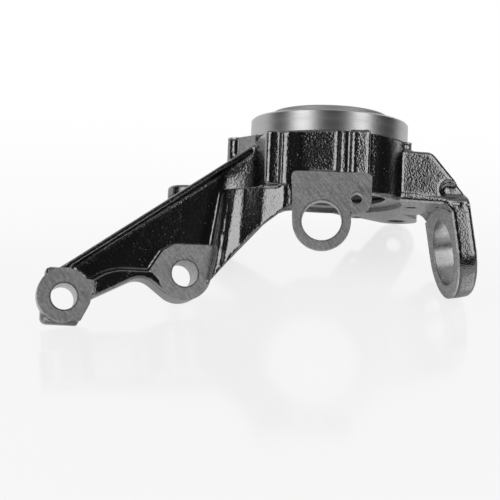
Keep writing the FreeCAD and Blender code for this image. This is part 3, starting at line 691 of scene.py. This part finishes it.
def from_camera(azimuth, elevation, distance):
    """A place round the hub: degrees to the right of the camera and above it, and metres off."""
    right = Vector(CAMERA_RIGHT)
    up = -Vector(CAMERA_DOWN)
    back = -Vector(CAMERA_AHEAD)
    a = math.radians(azimuth)
    e = math.radians(elevation)
    way = back * math.cos(a) * math.cos(e) + right * math.sin(a) * math.cos(e) + up * math.sin(e)
    return way * distance


def area_light(name, place, aim, width, height, power):
    """A softbox at a place, facing a point, both in metres."""
    lamp = bpy.data.lights.new(name, "AREA")
    lamp.shape = "RECTANGLE"
    lamp.size = width
    lamp.size_y = height
    lamp.energy = power
    softbox = bpy.data.objects.new(name, lamp)
    bpy.context.collection.objects.link(softbox)
    softbox.location = place
    softbox.rotation_euler = (Vector(aim) - Vector(place)).to_track_quat("-Z", "Y").to_euler()
    softbox.visible_camera = False
    return softbox


def table_material():
    """White satin sheet: it mirrors the casting faintly, and turns pure white further off."""
    material, tree = new_material("table_sheet")
    place = add_node(tree, "ShaderNodeTexCoord").outputs["Object"]
    away = add_node(tree, "ShaderNodeVectorMath", {"operation": "DOT_PRODUCT"}, {1: TABLE_AWAY},
                    {0: place}).outputs["Value"]
    fade = add_node(tree, "ShaderNodeMapRange", {"interpolation_type": "SMOOTHSTEP"},
                    {"From Min": TABLE_WHITE_FROM, "From Max": TABLE_WHITE_TO},
                    {"Value": away}).outputs["Result"]
    path = add_node(tree, "ShaderNodeLightPath").outputs
    back = add_node(tree, "ShaderNodeNewGeometry").outputs["Backfacing"]
    sheet = add_node(tree, "ShaderNodeBsdfDiffuse", inputs={"Color": colours().table}).outputs["BSDF"]
    gloss = add_node(tree, "ShaderNodeBsdfGlossy", inputs={
        "Color": colours().table_shine, "Roughness": 0.15}).outputs["BSDF"]
    pale = add_node(tree, "ShaderNodeEmission",
                    inputs={"Color": colours().table_glow, "Strength": 1.0}).outputs["Emission"]
    white = add_node(tree, "ShaderNodeEmission", inputs={"Strength": 1.0}).outputs["Emission"]
    clear = add_node(tree, "ShaderNodeBsdfTransparent").outputs["BSDF"]
    seen = add_node(tree, "ShaderNodeMath", {"operation": "MAXIMUM"}, {},
                    {0: path["Is Camera Ray"], 1: path["Is Glossy Ray"]}).outputs["Value"]
    mirrored = add_node(tree, "ShaderNodeMath", {"operation": "MULTIPLY"}, {1: TABLE_GLOW_MIRRORED},
                        {0: path["Is Glossy Ray"]}).outputs["Value"]
    soften = add_node(tree, "ShaderNodeMath", {"operation": "MULTIPLY_ADD"}, {1: TABLE_GLOW_SEEN},
                      {0: path["Is Camera Ray"], 2: mirrored}).outputs["Value"]
    reach = add_node(tree, "ShaderNodeVectorMath", {"operation": "LENGTH"}, {},
                     {0: place}).outputs["Value"]
    edge = add_node(tree, "ShaderNodeMapRange", {"interpolation_type": "SMOOTHSTEP"},
                    {"From Min": TABLE_EDGE_FROM, "From Max": TABLE_EDGE_TO},
                    {"Value": reach}).outputs["Result"]
    fade = add_node(tree, "ShaderNodeMath", {"operation": "MAXIMUM"}, {},
                    {0: fade, 1: edge}).outputs["Value"]
    whiten = add_node(tree, "ShaderNodeMath", {"operation": "MULTIPLY"}, {},
                      {0: seen, 1: fade}).outputs["Value"]
    matte = add_node(tree, "ShaderNodeMixShader", {}, {}, {0: soften, 1: sheet, 2: pale}).outputs["Shader"]
    near = add_node(tree, "ShaderNodeAddShader", {}, {}, {0: matte, 1: gloss}).outputs["Shader"]
    front = add_node(tree, "ShaderNodeEmission",
                     inputs={"Color": colours().table_front, "Strength": 1.0}).outputs["Emission"]
    toward = add_node(tree, "ShaderNodeMapRange", {"interpolation_type": "SMOOTHSTEP"},
                      {"From Min": TABLE_FRONT_TO, "From Max": TABLE_FRONT_FROM,
                       "To Min": TABLE_FRONT_SHARE, "To Max": 0.0},
                      {"Value": away}).outputs["Result"]
    toward = add_node(tree, "ShaderNodeMath", {"operation": "MULTIPLY"}, {},
                      {0: path["Is Camera Ray"], 1: toward}).outputs["Value"]
    near = add_node(tree, "ShaderNodeMixShader", {}, {}, {0: toward, 1: near, 2: front}).outputs["Shader"]
    lit = add_node(tree, "ShaderNodeMixShader", {}, {}, {0: whiten, 1: near, 2: white}).outputs["Shader"]
    hide = add_node(tree, "ShaderNodeMath", {"operation": "MULTIPLY"}, {},
                    {0: path["Is Camera Ray"], 1: back}).outputs["Value"]
    final = add_node(tree, "ShaderNodeMixShader", {}, {}, {0: hide, 1: lit, 2: clear}).outputs["Shader"]
    add_node(tree, "ShaderNodeOutputMaterial", links={"Surface": final})
    return material


def studio_world():
    """White to the camera; to the casting, a white wall, a ceiling, a bright left and a dark front."""
    world = bpy.data.worlds.new("studio")
    bpy.context.scene.world = world
    world.use_nodes = True
    tree = world.node_tree
    tree.nodes.clear()
    way = add_node(tree, "ShaderNodeTexCoord").outputs["Generated"]
    ahead = Vector(CAMERA_AHEAD)
    behind = add_node(tree, "ShaderNodeVectorMath", {"operation": "DOT_PRODUCT"},
                      {1: ahead}, {0: way}).outputs["Value"]
    wall = add_node(tree, "ShaderNodeMapRange", {"interpolation_type": "SMOOTHSTEP"},
                    {"From Min": 0.28, "From Max": 0.60, "To Min": 0.02, "To Max": 1.2},
                    {"Value": behind}).outputs["Result"]
    above = add_node(tree, "ShaderNodeVectorMath", {"operation": "DOT_PRODUCT"},
                     {1: -Vector(CAMERA_DOWN)}, {0: way}).outputs["Value"]
    ceiling = add_node(tree, "ShaderNodeMapRange", {"interpolation_type": "SMOOTHSTEP"},
                       {"From Min": 0.60, "From Max": 0.90, "To Min": 0.0, "To Max": 0.5},
                       {"Value": above}).outputs["Result"]
    leftwards = add_node(tree, "ShaderNodeVectorMath", {"operation": "DOT_PRODUCT"},
                         {1: from_camera(*FLANK_WAY, 1.0)}, {0: way}).outputs["Value"]
    flank = add_node(tree, "ShaderNodeMapRange", {"interpolation_type": "SMOOTHSTEP"},
                     {"From Min": 0.87, "From Max": 0.98, "To Min": 0.0, "To Max": 1.1},
                     {"Value": leftwards}).outputs["Result"]
    level = add_node(tree, "ShaderNodeMath", {"operation": "MAXIMUM"}, {},
                     {0: wall, 1: ceiling}).outputs["Value"]
    level = add_node(tree, "ShaderNodeMath", {"operation": "MAXIMUM"}, {},
                     {0: level, 1: flank}).outputs["Value"]
    camera = add_node(tree, "ShaderNodeLightPath").outputs["Is Camera Ray"]
    strength = add_node(tree, "ShaderNodeMath", {"operation": "MAXIMUM"}, {},
                        {0: level, 1: camera}).outputs["Value"]
    shade = add_node(tree, "ShaderNodeBackground", {}, {"Color": (1.0, 1.0, 1.0, 1.0)},
                     {"Strength": strength})
    add_node(tree, "ShaderNodeOutputWorld", {}, {}, {"Surface": shade.outputs["Background"]})


class KNUCKLE_OT_stage(bpy.types.Operator):
    """Pale table, softboxes, studio world and camera"""
    bl_idname = "knuckle.stage"
    bl_label = "Stage"

    def execute(self, context):
        points = [vertex.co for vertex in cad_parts[CASTING].data.vertices]
        lowest = min(point.dot(TABLE_UP) for point in points)
        middle = Vector(TABLE_MIDDLE)
        foot = middle + TABLE_UP * (lowest - middle.dot(TABLE_UP))
        bpy.ops.object.select_all(action="DESELECT")
        bpy.ops.mesh.primitive_plane_add(size=1.0)
        table = context.active_object
        table.name = "table"
        bpy.ops.transform.resize(value=(TABLE_WIDTH, TABLE_LENGTH, 1.0))
        bpy.ops.transform.rotate(value=-math.atan2(TABLE_AWAY.x, TABLE_AWAY.y), orient_axis="Z",
                                 center_override=(0.0, 0.0, 0.0))
        bpy.ops.object.transform_apply(location=False, rotation=True, scale=True)
        table.rotation_euler = TABLE_TURN.to_euler()
        table.location = foot
        table.data.materials.append(table_material())

        for name, azimuth, elevation, distance, width, height, power in SOFTBOXES:
            area_light(name, from_camera(azimuth, elevation, distance), (0.0, 0.0, 0.0),
                                width, height, power)
        studio_world()

        lens = bpy.data.cameras.new("camera")
        lens.sensor_width = SENSOR_WIDTH
        lens.lens = FOCAL_PIXELS * SENSOR_WIDTH / IMAGE_PIXELS
        lens.clip_start = 0.01
        camera = bpy.data.objects.new("camera", lens)
        context.collection.objects.link(camera)
        turn = Matrix((CAMERA_RIGHT, -Vector(CAMERA_DOWN), -Vector(CAMERA_AHEAD))).transposed()
        camera.matrix_world = Matrix.Translation(mm(CAMERA_PLACE)) @ turn.to_4x4()
        context.scene.camera = camera
        context.scene.view_settings.view_transform = "Standard"
        return {"FINISHED"}


class KNUCKLE_PT_panel(bpy.types.Panel):
    """Sizes, colours and steps of the knuckle"""
    bl_idname = "KNUCKLE_PT_panel"
    bl_label = "Steering Knuckle"
    bl_space_type = "VIEW_3D"
    bl_region_type = "UI"
    bl_category = "Knuckle"

    def draw(self, context):
        for group in (context.scene.knuckle_sizes, context.scene.knuckle_colours):
            for key in group.__annotations__:
                self.layout.prop(group, key)
        for operator in STEPS:
            self.layout.operator(operator.bl_idname)


STEPS = (KNUCKLE_OT_cast_skin, KNUCKLE_OT_milled_faces, KNUCKLE_OT_reamed_bores,
         KNUCKLE_OT_turned_hub, KNUCKLE_OT_stage)
CLASSES = (KnuckleSizes, KnuckleColours, *STEPS, KNUCKLE_PT_panel)


def register():
    for cls in CLASSES:
        bpy.utils.register_class(cls)
    bpy.types.Scene.knuckle_sizes = bpy.props.PointerProperty(type=KnuckleSizes)
    bpy.types.Scene.knuckle_colours = bpy.props.PointerProperty(type=KnuckleColours)


def unregister():
    del bpy.types.Scene.knuckle_colours
    del bpy.types.Scene.knuckle_sizes
    for cls in reversed(CLASSES):
        bpy.utils.unregister_class(cls)


def main():
    register()
    bpy.ops.knuckle.cast_skin()
    bpy.ops.knuckle.milled_faces()
    bpy.ops.knuckle.reamed_bores()
    bpy.ops.knuckle.turned_hub()
    bpy.ops.knuckle.stage()


if __name__ == "__main__":
    main()
